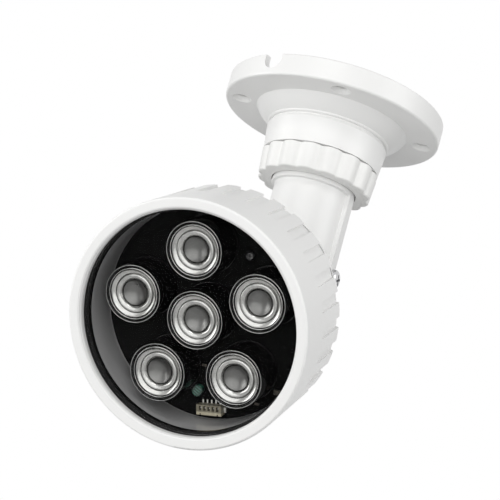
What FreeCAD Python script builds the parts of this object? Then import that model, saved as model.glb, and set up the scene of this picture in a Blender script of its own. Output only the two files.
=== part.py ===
import FreeCAD, Part
import math
import os

os.makedirs("parts", exist_ok=True)

# Infrared illuminator on a ceiling bracket, in millimetres.
# The origin is the middle of the bracket's mounting face. +Z points up into the ceiling,
# X is the hinge axis, and the lamp points towards -Y and downwards.

# Clearances
THREAD_GAP = 0.15
RUNNING_GAP = 0.1
SOFT_GAP = 0.2
FACE_GAP = 0.05
SEAT_GAP = 0.02

# Bracket base: a cast cup with a cone, a neck and a threaded spigot under it
BASE_R = 43.4
BASE_RIM_H = 8.8
BASE_EDGE_R = 0.9
BASE_TOP_EDGE = 0.4
BASE_WALL = 3.0
BASE_FLOOR = 2.6
CONE_TOP_R = 30.6
CONE_FOOT_R = 24.5
CONE_DEPTH = 5.3
CONE_BULGE = 0.3
CONE_FOOT_ROUND = 0.8
NECK_GROOVE_H = 0.85
NECK_R = 24.2
NECK_ROUND = 0.9
NECK_FOOT_R = 23.15
NECK_LEN = 10.9
NECK_WALL = 3.2
SPIGOT_R = 20.2
SPIGOT_LEN = 5.75
SPIGOT_FLOOR = 2.4
PILOT_R = 13.0
PILOT_LEN = 4.7

HOLE_COUNT = 4
HOLE_PCD = 73.5
HOLE_R = 2.35
HOLE_SINK_R = 3.9
HOLE_FIRST_DEG = 20.07
HOLE_BOSS_R = 5.4

NOTCH_DEG = 249.7
NOTCH_WIDTH = 8.0
NOTCH_DEPTH = 6.0

# Ring nut, and the washer that it presses up against the arm's flange
NUT_TOP_R = 23.5
NUT_FOOT_R = 22.7
NUT_TOP_GAP = 0.25
NUT_SHELF = 1.75
NUT_CLEAR = 0.45
NUT_LOBES = 16
NUT_LOBE_DEG = 6.25
NUT_WAVE = 1.25
NUT_VALLEY_R = 1.8
NUT_EDGE = 0.35
WASHER_T = 0.8

# Arm: a cast tube with a flange, a collar, a side rib and a forked end
ARM_R = 15.2
ARM_BORE_R = 9.5
ARM_LEN = 40.53
FLANGE_T = 2.1
COLLAR_R = 16.6
COLLAR_SHOW = 1.5
COLLAR_EDGE = 0.25
COLLAR_FILLET = 0.5
RIB_WIDTH = 5.8
RIB_RISE = 1.4
PAD_R = 5.3
FORK_END_R = 13.4
FORK_ROOT = 13.0
FORK_BRIDGE = 2.0
LEAD_HOLE_R = 8.0

# Hinge
HINGE_SCREW_R = 2.0
HINGE_HEAD_R = 4.0
HINGE_HEAD_H = 2.4
HINGE_WASHER_T = 0.7
HINGE_WASHER_R = 3.8
HINGE_WASHER_SPLIT = 0.6
HINGE_NUT_FLATS = 7.0
HINGE_NUT_T = 3.2
HINGE_NUT_SINK = 3.9
HINGE_SCREW_PROUD = 0.5
HINGE_CROSS_DEG = 25.0
DISC_R = 9.0
DISC_T = 0.7
TONGUE_T = 12.0
TONGUE_R = 11.0

# Lamp: its axis passes a little above the pivot. Depths count back from the front plane.
TILT_DEG = 32.12
AXIS_RISE = 2.0
EYE_REACH = 15.96

# Front cap
CAP_R = 45.0
CAP_TAPER = 1.6
CAP_WALL = 2.2
CAP_LEN = 37.5
CAP_LIP_IN = 0.75
CAP_LIP_T = 1.4
CAP_INNER_ROUND = 1.5
CAP_OUTER_ROUND = 0.8
CAP_REAR_EDGE = 0.5
SLOT_COUNT = 30
SLOT_FIRST_DEG = 0.4
SLOT_WIDTH_DEG = 5.3
SLOT_START = 18.0
SLOT_SINK = 0.6
SLOT_REAR_SINK = 1.2

# Window
GLASS_T = 2.6
GLASS_EDGE = 0.2
GASKET_WALL = 0.4
GASKET_LIP_T = 0.6
GASKET_FRONT_NIP = 0.53
GASKET_BACK_NIP = 0.83

# Main housing
THREAD_WALL = 1.55
THREAD_LEN = 17.04
THREAD_RELIEF = 0.65
BARREL_LEN = 16.0
SHELF_IN = 4.1
WAIST_TAPER = 2.2
WAIST_LEN = 3.5
TAIL_TAPER = 3.8
TAIL_LEN = 13.5
TAIL_WALL = 2.2

# Board stack
BOARD_SETBACK = 16.78
BOARD_T = 1.6
SPREADER_T = 3.0
BOARD_SCREW_OUT = 1.53
BOARD_SCREW_STEPS = (0, 3)
BOARD_SCREW_HEAD_R = 1.75
BOARD_SCREW_HEAD_H = 1.2
BOARD_SCREW_R = 1.0

# Light units: one in the middle and five round it, as large as the board and these gaps leave room for
UNIT_COUNT = 5
UNIT_GAP = 3.63
UNIT_IN = 3.96
UNIT_FIRST_DEG = 94.93
HOLDER_H = 14.92
HOLDER_WALL = 1.15
HOLDER_FLOOR = 1.0
HOLDER_RIDGE_R = 0.27
HOLDER_INNER_RIDGE_R = 0.24
HOLDER_RIDGE_FALL = 0.2
HOLDER_FOOT_OUT = 0.2
HOLDER_FOOT_H = 0.5

# Lens: its face is a rim, a bowl, a raised ring and a dish, each a depth and a step in from the edge
LENS_FALL = 0.3
LENS_GAP = 0.12
LENS_RIM_T = 1.7
LENS_RIM_W = 0.7
LENS_LIP_W = 0.2
LENS_BOWL_FROM = (0.37, 0.33)
LENS_BOWL_TO = (2.05, 1.34)
LENS_BOWL_SAG = 0.17
LENS_OUTER_GROOVE = (2.16, 1.6)
LENS_RING_FROM = (2.3, 1.05)
LENS_RING_CREST = (2.9, 0.7)
LENS_RING_TO = (4.44, 1.68)
LENS_RING_SWELL = 0.1
LENS_RING_FALL_SWELL = 0.26
LENS_INNER_GROOVE = (4.68, 2.3)
LENS_DISH_FROM = (4.81, 1.9)
LENS_DISH_DEPTH = 3.45
LENS_DISH_SAG = 0.4
LENS_FOOT_R = 4.4
LENS_CUP_R = 2.9
LENS_CUP_DEPTH = 3.4
LENS_LIFT = 1.0
LED_SIDE = 6.4
LED_CLEAR = 0.8
LED_T = 1.1
LED_DOME_R = 2.1
LED_DOME_H = 0.9

# Small parts on the board: each stands at an angle and a step in from the board's edge, seen from the front
PHOTOCELL_IN = 9.81
PHOTOCELL_AT_DEG = -94.47
PHOTOCELL_R = 2.15
PHOTOCELL_FLATS = 3.5
PHOTOCELL_H = 2.0
PHOTOCELL_EDGE = 0.25
PHOTOCELL_TURN_DEG = -30.0
HEADER_IN = 3.7
HEADER_AT_DEG = -84.9
HEADER_WIDTH = 3.7
HEADER_H = 3.2
HEADER_END = 1.5
HEADER_PINS = 5
HEADER_PITCH = 1.65
HEADER_SLOT = (1.0, 1.7)
HEADER_SLOT_IN = 0.55
HEADER_SLOT_DEPTH = 2.4
HEADER_NOTCH = (0.5, 1.1)
HEADER_NOTCH_DEPTH = 1.6
PIN_SIDE = 0.45
PIN_H = 2.2
PIN_TAIL = (1.3, 0.25)
TAB_SIZE = (0.9, 1.8, 0.9)
CHIP_PART_SIZE = (1.6, 0.8, 0.5)
CHIP_PART_IN = (2.61, 19.28)
CHIP_PART_AT_DEG = (-56.79, -92.58)
BOX_PART_SIZE = (2.4, 1.8, 1.2)
BOX_PART_IN = 2.06
BOX_PART_AT_DEG = -42.17

# Driver behind the board
DRIVER_R = 23.5
DRIVER_T = 1.6
STANDOFF_LEN = 11.5
STANDOFF_R = 2.5
STANDOFF_PCR = 19.5
STANDOFF_COUNT = 3
DRIVER_SCREW_R = 1.0
DRIVER_HEAD_R = 1.9
DRIVER_HEAD_H = 1.3
COIL_XY = (-8.0, -4.0)
COIL_R = 6.5
COIL_H = 7.5
COIL_HOLE_R = 2.6
COIL_GROOVE = 1.2
COIL_FLANGE_T = 1.4
CAPACITOR_PLACES = ((9.0, 7.0), (10.0, -4.0))
CAPACITOR_R = 4.0
CAPACITOR_H = 10.0
CAPACITOR_EDGE = 0.5
IC_SIZE = (5.0, 4.0, 1.5)
IC_PLACES = ((-7.0, 9.0), (2.0, -14.0))

# Rear cover
SEAL_T = 0.8
SEAL_INSET = 0.4
COVER_RIM_IN = 1.2
COVER_RIM_LEN = 3.0
COVER_MID_IN = 6.9
COVER_MID_LEN = 16.2
COVER_REAR_IN = 15.4
COVER_REAR_LEN = 27.5
COVER_WALL = 2.6
COVER_BOSS_R = 12.0
COVER_BOSS_H = 1.9
COVER_SPIGOT_LEN = 4.0
COVER_SPIGOT_WALL = 2.2
COVER_SCREW_IN = 6.8
COVER_SCREW_COUNT = 4
COVER_SCREW_FIRST_DEG = 45.0
COVER_SCREW_R = 1.5
COVER_HEAD_R = 2.8
COVER_HEAD_H = 2.0
COVER_HEAD_CLEAR = 0.4
COVER_SEAT_LEN = 6.5
COVER_SCREW_LEN = 14.0
COVER_COLUMN_R = 4.1
COLUMN_GAP = 0.5
LEAD_R = 2.75
LEAD_RISE = 6.8
GROMMET_WALL = 1.45
GROMMET_T = 3.0
GROMMET_NIP = 0.4


# Helpers

def vec(x, y, z):
    return FreeCAD.Vector(x, y, z)


X_AXIS = vec(1, 0, 0)
Y_AXIS = vec(0, 1, 0)
Z_AXIS = vec(0, 0, 1)
ORIGIN = vec(0, 0, 0)


def bend(start, end, centre):
    """An arc point for profile: a quarter turn from start to end about a centre, as (r, z) pairs."""
    share = math.sqrt(0.5)
    middle = [c + share * (a + b - 2 * c) for a, b, c in zip(start, end, centre)]
    return (middle[0], middle[1], end[0], end[1])


def profile(points):
    """A closed face in the XZ plane. A point is (r, z), or (r_mid, z_mid, r, z) for an arc."""
    edges = []
    here = vec(points[0][0], 0, points[0][1])
    start = here
    for point in points[1:]:
        there = vec(point[-2], 0, point[-1])
        if len(point) == 4:
            middle = vec(point[0], 0, point[1])
            edges.append(Part.Arc(here, middle, there).toShape())
        else:
            edges.append(Part.makeLine(here, there))
        here = there
    edges.append(Part.makeLine(here, start))
    return Part.Face(Part.Wire(edges))


def turned(points):
    """A solid of revolution about Z."""
    return profile(points).revolve(ORIGIN, Z_AXIS, 360)


def depths(points):
    """The same outline with depths behind the front plane turned into heights."""
    flipped = []
    for point in points:
        if len(point) == 4:
            flipped.append((point[0], -point[1], point[2], -point[3]))
        else:
            flipped.append((point[0], -point[1]))
    return flipped


def rod(radius, x, y, z_from, z_to):
    low = min(z_from, z_to)
    return Part.makeCylinder(radius, abs(z_to - z_from), vec(x, y, low))


def pipe(outer_r, inner_r, x, y, z_from, z_to):
    return rod(outer_r, x, y, z_from, z_to).cut(rod(inner_r, x, y, z_from, z_to))


def block(x_from, x_to, y_from, y_to, z_from, z_to):
    low = vec(min(x_from, x_to), min(y_from, y_to), min(z_from, z_to))
    return Part.makeBox(abs(x_to - x_from), abs(y_to - y_from), abs(z_to - z_from), low)


def brick(size, x, y, z_from, way):
    """A block of (length, width, height) centred on x and y that rises or falls from z_from."""
    length, width, height = size
    return block(x - length / 2, x + length / 2, y - width / 2, y + width / 2, z_from, z_from + way * height)


def on_circle(radius, angle_deg):
    angle = math.radians(angle_deg)
    return radius * math.cos(angle), radius * math.sin(angle)


def round_places(radius, count, first_deg):
    return [on_circle(radius, first_deg + step * 360 / count) for step in range(count)]


def turned_about_z(shape, angle_deg):
    copy = shape.copy()
    copy.rotate(ORIGIN, Z_AXIS, angle_deg)
    return copy


def cross_recess(head_r, depth):
    """Two crossed slots centred on the origin, cut down from z = 0."""
    arm = head_r * 0.53
    half = head_r * 0.11
    one = block(-arm, arm, -half, half, -depth, 1)
    return one.fuse(turned_about_z(one, 90))


def pan_head_screw(head_r, head_h, shank_r, shank_len):
    """A cross-recessed pan head screw: its seat is z = 0, the crown points up and the shank down."""
    edge_h = head_h * 0.4
    crown = bend((head_r, edge_h), (head_r * 0.4, head_h), (head_r * 0.4, edge_h))
    head = turned([(0, 0), (head_r, 0), (head_r, edge_h), crown, (0, head_h)])
    recess = cross_recess(head_r, head_h * 0.6)
    recess.translate(vec(0, 0, head_h))
    return head.cut(recess).fuse(rod(shank_r, 0, 0, -shank_len, 0))


def small_screw(head_r, head_h, shank_r, shank_len):
    """The same for a small screw: the head is a plain cone with a flat top."""
    head = turned([(0, 0), (head_r, 0), (head_r, head_h * 0.5), (head_r * 0.7, head_h), (0, head_h)])
    recess = cross_recess(head_r, head_h * 0.6)
    recess.translate(vec(0, 0, head_h))
    return head.cut(recess).fuse(rod(shank_r, 0, 0, -shank_len, 0))


def save(name, shape):
    """One STEP file for each piece."""
    if len(shape.Solids) == 1:
        shape = shape.Solids[0]
    shape.exportStep("parts/" + name + ".step")


# Bracket base

RIM_FOOT_Z = -BASE_RIM_H
CUP_FLOOR_Z = RIM_FOOT_Z + BASE_FLOOR
CONE_FOOT_Z = RIM_FOOT_Z - CONE_DEPTH
GROOVE_TOP_Z = CONE_FOOT_Z - CONE_FOOT_ROUND
GROOVE_R = NECK_R - NECK_ROUND
NECK_TOP_Z = GROOVE_TOP_Z - NECK_GROOVE_H
NECK_FOOT_Z = NECK_TOP_Z - NECK_LEN
NECK_INNER_R = NECK_FOOT_R - NECK_WALL
SPIGOT_FLOOR_Z = NECK_FOOT_Z + SPIGOT_FLOOR
SPIGOT_END_Z = NECK_FOOT_Z - SPIGOT_LEN
PILOT_BORE_R = PILOT_R + RUNNING_GAP


def base_body():
    cone_mid_r = (CONE_TOP_R + CONE_FOOT_R) / 2 + CONE_BULGE
    cone_mid_z = (RIM_FOOT_Z + CONE_FOOT_Z) / 2 - CONE_BULGE
    edge_start = (BASE_R, RIM_FOOT_Z + BASE_EDGE_R)
    edge_end = (BASE_R - BASE_EDGE_R, RIM_FOOT_Z)
    edge_centre = (BASE_R - BASE_EDGE_R, RIM_FOOT_Z + BASE_EDGE_R)
    foot_start = (CONE_FOOT_R, CONE_FOOT_Z)
    foot_end = (CONE_FOOT_R - CONE_FOOT_ROUND, GROOVE_TOP_Z)
    foot_centre = (foot_end[0], CONE_FOOT_Z)
    round_start = (GROOVE_R, NECK_TOP_Z)
    round_end = (NECK_R, NECK_TOP_Z - NECK_ROUND)
    round_centre = (GROOVE_R, round_end[1])
    return turned([
        (BASE_R - BASE_WALL, 0),
        (BASE_R - BASE_TOP_EDGE, 0),
        (BASE_R, -BASE_TOP_EDGE),
        edge_start,
        bend(edge_start, edge_end, edge_centre),
        (CONE_TOP_R, RIM_FOOT_Z),
        (cone_mid_r, cone_mid_z) + foot_start,
        bend(foot_start, foot_end, foot_centre),
        (GROOVE_R, GROOVE_TOP_Z),
        round_start,
        bend(round_start, round_end, round_centre),
        (NECK_FOOT_R, NECK_FOOT_Z),
        (SPIGOT_R, NECK_FOOT_Z),
        (SPIGOT_R, SPIGOT_END_Z),
        (PILOT_BORE_R, SPIGOT_END_Z),
        (PILOT_BORE_R, SPIGOT_FLOOR_Z),
        (NECK_INNER_R, SPIGOT_FLOOR_Z),
        (NECK_INNER_R, CONE_FOOT_Z),
        (CONE_TOP_R - BASE_FLOOR, CUP_FLOOR_Z),
        (BASE_R - BASE_WALL, CUP_FLOOR_Z),
    ])


def add_mounting_holes(shape):
    """Countersunk from below, each through a boss that reaches the ceiling."""
    sink_h = HOLE_SINK_R - HOLE_R
    for x, y in round_places(HOLE_PCD / 2, HOLE_COUNT, HOLE_FIRST_DEG):
        boss = rod(HOLE_BOSS_R, x, y, 0, CUP_FLOOR_Z - BASE_FLOOR / 2)
        hole = rod(HOLE_R, x, y, 1, RIM_FOOT_Z - 1)
        sink = Part.makeCone(HOLE_SINK_R, HOLE_R, sink_h, vec(x, y, RIM_FOOT_Z))
        shape = shape.fuse(boss).cut(hole.fuse(sink))
    return shape


def rim_notch():
    """A round-bottomed notch through the rim wall, open at the mounting face."""
    half = NOTCH_WIDTH / 2
    inner_x = BASE_R - 2 * BASE_WALL
    outer_x = BASE_R + BASE_WALL
    bottom = Part.makeCylinder(half, outer_x - inner_x, vec(inner_x, 0, half - NOTCH_DEPTH), X_AXIS)
    throat = block(inner_x, outer_x, -half, half, half - NOTCH_DEPTH, 1)
    return turned_about_z(bottom.fuse(throat), NOTCH_DEG)


def base_flange():
    shape = add_mounting_holes(base_body())
    return shape.cut(rim_notch()).removeSplitter()


# Ring nut, thrust washer and the arm's flange share the stack under the spigot

FLANGE_TOP_Z = SPIGOT_END_Z - FACE_GAP
FLANGE_FOOT_Z = FLANGE_TOP_Z - FLANGE_T
WASHER_TOP_Z = FLANGE_FOOT_Z - FACE_GAP
WASHER_FOOT_Z = WASHER_TOP_Z - WASHER_T
NUT_SHELF_Z = WASHER_FOOT_Z - FACE_GAP
NUT_FOOT_Z = NUT_SHELF_Z - NUT_SHELF
NUT_TOP_Z = NECK_FOOT_Z - NUT_TOP_GAP
NUT_THREAD_R = SPIGOT_R + THREAD_GAP
FLANGE_R = NUT_THREAD_R - NUT_CLEAR
COLLAR_END_Z = NUT_FOOT_Z - COLLAR_SHOW


def nut_outline(lobe_r, z):
    """The nut's wavy edge at a height: lobes and valleys are arcs that run into each other."""
    half = math.pi / NUT_LOBES
    valley_at = lobe_r - NUT_WAVE + NUT_VALLEY_R
    reach = valley_at * math.cos(half)
    spread = lobe_r ** 2 + valley_at ** 2 - 2 * lobe_r * reach - NUT_VALLEY_R ** 2
    arc_r = spread / (2 * (lobe_r + NUT_VALLEY_R - reach))
    share = arc_r / (arc_r + NUT_VALLEY_R)
    lobe_at = lobe_r - arc_r
    meet_x = lobe_at + share * (reach - lobe_at)
    meet_y = share * valley_at * math.sin(half)
    meet_r = math.hypot(meet_x, meet_y)
    meet_deg = math.degrees(math.atan2(meet_y, meet_x))
    pitch = 360 / NUT_LOBES
    edges = []
    for step in range(NUT_LOBES):
        middle = NUT_LOBE_DEG + step * pitch
        stops = (
            (meet_r, middle - meet_deg),
            (lobe_r, middle),
            (meet_r, middle + meet_deg),
            (lobe_r - NUT_WAVE, middle + pitch / 2),
            (meet_r, middle + pitch - meet_deg),
        )
        points = [vec(*on_circle(radius, angle), z) for radius, angle in stops]
        edges.append(Part.Arc(*points[:3]).toShape())
        edges.append(Part.Arc(*points[2:]).toShape())
    return Part.Wire(edges)


def ring_nut():
    """A tapered ring of lobes with bevelled edges, bored for the spigot's thread and the collar."""
    body = Part.makeLoft([
        nut_outline(NUT_TOP_R - NUT_EDGE, NUT_TOP_Z),
        nut_outline(NUT_TOP_R, NUT_TOP_Z - NUT_EDGE),
        nut_outline(NUT_FOOT_R, NUT_FOOT_Z + NUT_EDGE),
        nut_outline(NUT_FOOT_R - NUT_EDGE, NUT_FOOT_Z),
    ], True, True)
    thread = rod(NUT_THREAD_R, 0, 0, NUT_SHELF_Z, NUT_TOP_Z + 1)
    opening = rod(COLLAR_R + NUT_CLEAR, 0, 0, NUT_FOOT_Z - 1, NUT_SHELF_Z + 1)
    return body.cut([thread, opening])


def thrust_washer():
    outer_r = NUT_THREAD_R - SOFT_GAP
    inner_r = COLLAR_R + NUT_CLEAR
    return pipe(outer_r, inner_r, 0, 0, WASHER_FOOT_Z, WASHER_TOP_Z)


# Arm

PIVOT_Z = FLANGE_TOP_Z - ARM_LEN
FORK_HALF = TONGUE_T / 2 + DISC_T + RUNNING_GAP
FORK_ROOT_Z = PIVOT_Z + FORK_ROOT
ARM_TOP_Z = FLANGE_TOP_Z + PILOT_LEN
RIB_X = ARM_R + RIB_RISE
HINGE_NUT_SEAT_X = HINGE_NUT_SINK - ARM_R


def cross_rod(radius, x_from, x_to):
    """A cylinder along the hinge axis."""
    return Part.makeCylinder(radius, x_to - x_from, vec(x_from, 0, PIVOT_Z), X_AXIS)


def hexagon(flats, x_from, x_to):
    """A hexagonal prism along the hinge axis, with a corner pointing up."""
    corner_r = flats / math.sqrt(3)
    corners = []
    for step in range(7):
        y, z = on_circle(corner_r, 60 * step + 90)
        corners.append(vec(x_from, y, PIVOT_Z + z))
    return Part.Face(Part.makePolygon(corners)).extrude(vec(x_to - x_from, 0, 0))


def arm_tube():
    """The flange, the collar and the outside of the tube, hollow down to the fork."""
    foot_z = PIVOT_Z - ARM_R
    fillet_start = (ARM_R + COLLAR_FILLET, COLLAR_END_Z - COLLAR_EDGE)
    fillet_end = (ARM_R, COLLAR_END_Z - COLLAR_EDGE - COLLAR_FILLET)
    fillet_centre = (fillet_start[0], fillet_end[1])
    return turned([
        (ARM_BORE_R, ARM_TOP_Z),
        (PILOT_R, ARM_TOP_Z),
        (PILOT_R, FLANGE_TOP_Z),
        (FLANGE_R, FLANGE_TOP_Z),
        (FLANGE_R, FLANGE_FOOT_Z),
        (COLLAR_R, FLANGE_FOOT_Z),
        (COLLAR_R, COLLAR_END_Z),
        (COLLAR_R - COLLAR_EDGE, COLLAR_END_Z - COLLAR_EDGE),
        fillet_start,
        bend(fillet_start, fillet_end, fillet_centre),
        (ARM_R, foot_z),
        (0, foot_z),
        (0, FORK_ROOT_Z + FORK_BRIDGE),
        (ARM_BORE_R, FORK_ROOT_Z + FORK_BRIDGE),
    ])


def side_rib():
    """The raised rib that runs down to the hinge screw's pad."""
    half = RIB_WIDTH / 2
    rib = block(ARM_BORE_R + 1, RIB_X, -half, half, PIVOT_Z, COLLAR_END_Z)
    return rib.fuse(cross_rod(PAD_R, FORK_HALF + 1, RIB_X))


def fork_outline():
    """What the arm may fill, seen along the hinge: straight down to the pivot, then round."""
    above = rod(FLANGE_R + 1, 0, 0, ARM_TOP_Z, PIVOT_Z)
    return above.fuse(cross_rod(FORK_END_R, -RIB_X, RIB_X))


def bracket_arm():
    wide = ARM_R + 1
    shape = arm_tube().fuse(side_rib()).common(fork_outline())
    slot = block(-FORK_HALF, FORK_HALF, -wide, wide, PIVOT_Z - wide, FORK_ROOT_Z)
    lead_hole = rod(LEAD_HOLE_R, 0, 0, FORK_ROOT_Z - 1, FORK_ROOT_Z + FORK_BRIDGE + 1)
    screw_hole = cross_rod(HINGE_SCREW_R + RUNNING_GAP, -RIB_X - 1, RIB_X + 1)
    pocket = hexagon(HINGE_NUT_FLATS + 2 * RUNNING_GAP, -ARM_R - 1, HINGE_NUT_SEAT_X)
    return shape.cut([slot, lead_hole, screw_hole, pocket]).removeSplitter()


# Hinge hardware

WASHER_X = RIB_X + SEAT_GAP
HEAD_X = WASHER_X + HINGE_WASHER_T + SEAT_GAP
NUT_SEAT_X = HINGE_NUT_SEAT_X - SEAT_GAP
SCREW_END_X = NUT_SEAT_X - HINGE_NUT_T - HINGE_SCREW_PROUD


def hinge_screw():
    screw = pan_head_screw(HINGE_HEAD_R, HINGE_HEAD_H, HINGE_SCREW_R, HEAD_X - SCREW_END_X)
    screw.rotate(ORIGIN, Z_AXIS, HINGE_CROSS_DEG)
    screw.rotate(ORIGIN, Y_AXIS, 90)
    screw.translate(vec(HEAD_X, 0, PIVOT_Z))
    return screw


def hinge_washer():
    """A spring washer, split at the top."""
    far_x = WASHER_X + HINGE_WASHER_T
    half = HINGE_WASHER_SPLIT / 2
    ring = cross_rod(HINGE_WASHER_R, WASHER_X, far_x)
    hole = cross_rod(HINGE_SCREW_R + RUNNING_GAP, WASHER_X, far_x)
    split = block(WASHER_X, far_x, -half, half, PIVOT_Z, PIVOT_Z + 2 * HINGE_WASHER_R)
    return ring.cut([hole, split])


def hinge_nut():
    nut = hexagon(HINGE_NUT_FLATS, NUT_SEAT_X - HINGE_NUT_T, NUT_SEAT_X)
    return nut.cut(cross_rod(HINGE_SCREW_R + SEAT_GAP, NUT_SEAT_X - HINGE_NUT_T, NUT_SEAT_X))


def friction_discs():
    """Two discs, one each side of the tongue, that the fork squeezes."""
    inner = TONGUE_T / 2 + SEAT_GAP
    outer = TONGUE_T / 2 + DISC_T
    discs = []
    for x_from, x_to in ((-outer, -inner), (inner, outer)):
        disc = cross_rod(DISC_R, x_from, x_to)
        discs.append(disc.cut(cross_rod(HINGE_SCREW_R + RUNNING_GAP, x_from, x_to)))
    return Part.makeCompound(discs)


# Depths along the lamp, each counted back from the piece before it

CAP_LIP_BACK = CAP_INNER_ROUND + CAP_LIP_T
GASKET_FRONT = CAP_LIP_BACK + SEAT_GAP
GLASS_FRONT = GASKET_FRONT + GASKET_LIP_T + SEAT_GAP
GLASS_BACK = GLASS_FRONT + GLASS_T
GASKET_BACK = GLASS_BACK + SEAT_GAP + GASKET_LIP_T
HOUSING_FRONT = GASKET_BACK + SOFT_GAP
BOARD_FRONT = HOUSING_FRONT + BOARD_SETBACK
SPREADER_FRONT = BOARD_FRONT + BOARD_T + SEAT_GAP
SPREADER_BACK = SPREADER_FRONT + SPREADER_T
SHELF_AT = SPREADER_BACK + SEAT_GAP
THREAD_END = HOUSING_FRONT + THREAD_LEN
BARREL_END = THREAD_END + BARREL_LEN
WAIST_AT = BARREL_END + WAIST_LEN
TAIL_END = WAIST_AT + TAIL_LEN
SEAL_FRONT = TAIL_END + SEAT_GAP
COVER_FRONT = SEAL_FRONT + SEAL_T + SEAT_GAP
COVER_SEAT = COVER_FRONT + COVER_SEAT_LEN
COVER_REAR = COVER_FRONT + COVER_REAR_LEN
COVER_BOSS = COVER_REAR + COVER_BOSS_H
EYE_AT = COVER_BOSS + EYE_REACH

LAMP_TURN = FreeCAD.Rotation(X_AXIS, 90 + TILT_DEG)
FRONT_CENTRE = vec(0, 0, PIVOT_Z) + LAMP_TURN.multVec(vec(0, AXIS_RISE, EYE_AT))
LAMP_PLACE = FreeCAD.Placement(FRONT_CENTRE, LAMP_TURN)


def save_lamp(name, shape):
    """A piece modelled in the lamp's own frame, set at its place on the lamp."""
    placed = shape.copy()
    placed.Placement = LAMP_PLACE.multiply(placed.Placement)
    save(name, placed)


# Front cap

CAP_REAR_R = CAP_R - CAP_TAPER
CAP_BORE_R = CAP_REAR_R - CAP_WALL
CAP_OPENING_R = CAP_BORE_R - CAP_LIP_IN


def cap_radius(depth):
    """The side's radius at a depth: it narrows a little towards the rear."""
    share = (depth - CAP_OUTER_ROUND) / (CAP_LEN - CAP_OUTER_ROUND)
    return CAP_R - CAP_TAPER * share


def grip_slot():
    """One recess: it starts with a step in front and runs out through the rear edge, a little deeper."""
    front_r = cap_radius(SLOT_START) - SLOT_SINK
    rear_r = CAP_REAR_R - SLOT_REAR_SINK
    over = 1
    fall = (front_r - rear_r) / (CAP_LEN - SLOT_START)
    corners = [
        vec(front_r, 0, -SLOT_START),
        vec(rear_r - fall * over, 0, -(CAP_LEN + over)),
        vec(CAP_R + over, 0, -(CAP_LEN + over)),
        vec(CAP_R + over, 0, -SLOT_START),
    ]
    face = Part.Face(Part.makePolygon(corners + [corners[0]]))
    wedge = face.revolve(ORIGIN, Z_AXIS, SLOT_WIDTH_DEG)
    return turned_about_z(wedge, -SLOT_WIDTH_DEG / 2)


def front_cap():
    """A screwed ring with a flat face, rounded into its opening and over its outer edge."""
    lip = (CAP_OPENING_R, CAP_INNER_ROUND)
    inner = (CAP_OPENING_R + CAP_INNER_ROUND, 0)
    outer = (CAP_R - CAP_OUTER_ROUND, 0)
    shoulder = (CAP_R, CAP_OUTER_ROUND)
    body = turned(depths([
        (CAP_OPENING_R, CAP_LIP_BACK),
        lip,
        bend(lip, inner, (inner[0], CAP_INNER_ROUND)),
        outer,
        bend(outer, shoulder, (outer[0], CAP_OUTER_ROUND)),
        (CAP_REAR_R, CAP_LEN - CAP_REAR_EDGE),
        (CAP_REAR_R - CAP_REAR_EDGE, CAP_LEN),
        (CAP_BORE_R, CAP_LEN),
        (CAP_BORE_R, CAP_LIP_BACK),
    ]))
    slot = grip_slot()
    first = SLOT_FIRST_DEG
    return body.cut([turned_about_z(slot, first + step * 360 / SLOT_COUNT) for step in range(SLOT_COUNT)])


# Window

GASKET_R = CAP_BORE_R - SOFT_GAP
GLASS_R = GASKET_R - GASKET_WALL - SEAT_GAP


def front_glass():
    return turned(depths([
        (0, GLASS_FRONT),
        (GLASS_R - GLASS_EDGE, GLASS_FRONT),
        (GLASS_R, GLASS_FRONT + GLASS_EDGE),
        (GLASS_R, GLASS_BACK - GLASS_EDGE),
        (GLASS_R - GLASS_EDGE, GLASS_BACK),
        (0, GLASS_BACK),
    ]))


def glass_gasket():
    """A rubber channel that wraps the edge of the glass."""
    channel_r = GLASS_R + SEAT_GAP
    front_r = GLASS_R - GASKET_FRONT_NIP
    back_r = GLASS_R - GASKET_BACK_NIP
    return turned(depths([
        (front_r, GASKET_FRONT),
        (GASKET_R, GASKET_FRONT),
        (GASKET_R, GASKET_BACK),
        (back_r, GASKET_BACK),
        (back_r, GLASS_BACK + SEAT_GAP),
        (channel_r, GLASS_BACK + SEAT_GAP),
        (channel_r, GLASS_FRONT - SEAT_GAP),
        (front_r, GLASS_FRONT - SEAT_GAP),
    ]))


# Main housing

THREAD_R = CAP_BORE_R - THREAD_GAP
BORE_R = THREAD_R - THREAD_WALL
SHELF_R = BORE_R - SHELF_IN
BARREL_R = THREAD_R - THREAD_RELIEF
WAIST_R = BARREL_R - WAIST_TAPER
TAIL_R = WAIST_R - TAIL_TAPER
TAIL_BORE_R = TAIL_R - TAIL_WALL
COVER_SCREW_PCR = TAIL_R - COVER_SCREW_IN
SPIGOT_FRONT = TAIL_END - COVER_SPIGOT_LEN
COLUMN_END = SPIGOT_FRONT - COLUMN_GAP
COLUMN_START = COVER_SEAT - COVER_SCREW_LEN - 2


def cover_screw_places():
    return round_places(COVER_SCREW_PCR, COVER_SCREW_COUNT, COVER_SCREW_FIRST_DEG)


def screw_columns(depth_from, depth_to, web_r):
    """Columns for the rear cover's screws, joined to the wall by webs."""
    columns = []
    for step in range(COVER_SCREW_COUNT):
        angle = COVER_SCREW_FIRST_DEG + step * 360 / COVER_SCREW_COUNT
        column = rod(COVER_COLUMN_R, COVER_SCREW_PCR, 0, -depth_from, -depth_to)
        web = block(COVER_SCREW_PCR, web_r, -COVER_COLUMN_R, COVER_COLUMN_R, -depth_from, -depth_to)
        columns.append(turned_about_z(column.fuse(web), angle))
    return columns


def cover_screw_holes(radius, depth_from, depth_to):
    return [rod(radius, x, y, -depth_from, -depth_to) for x, y in cover_screw_places()]


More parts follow.
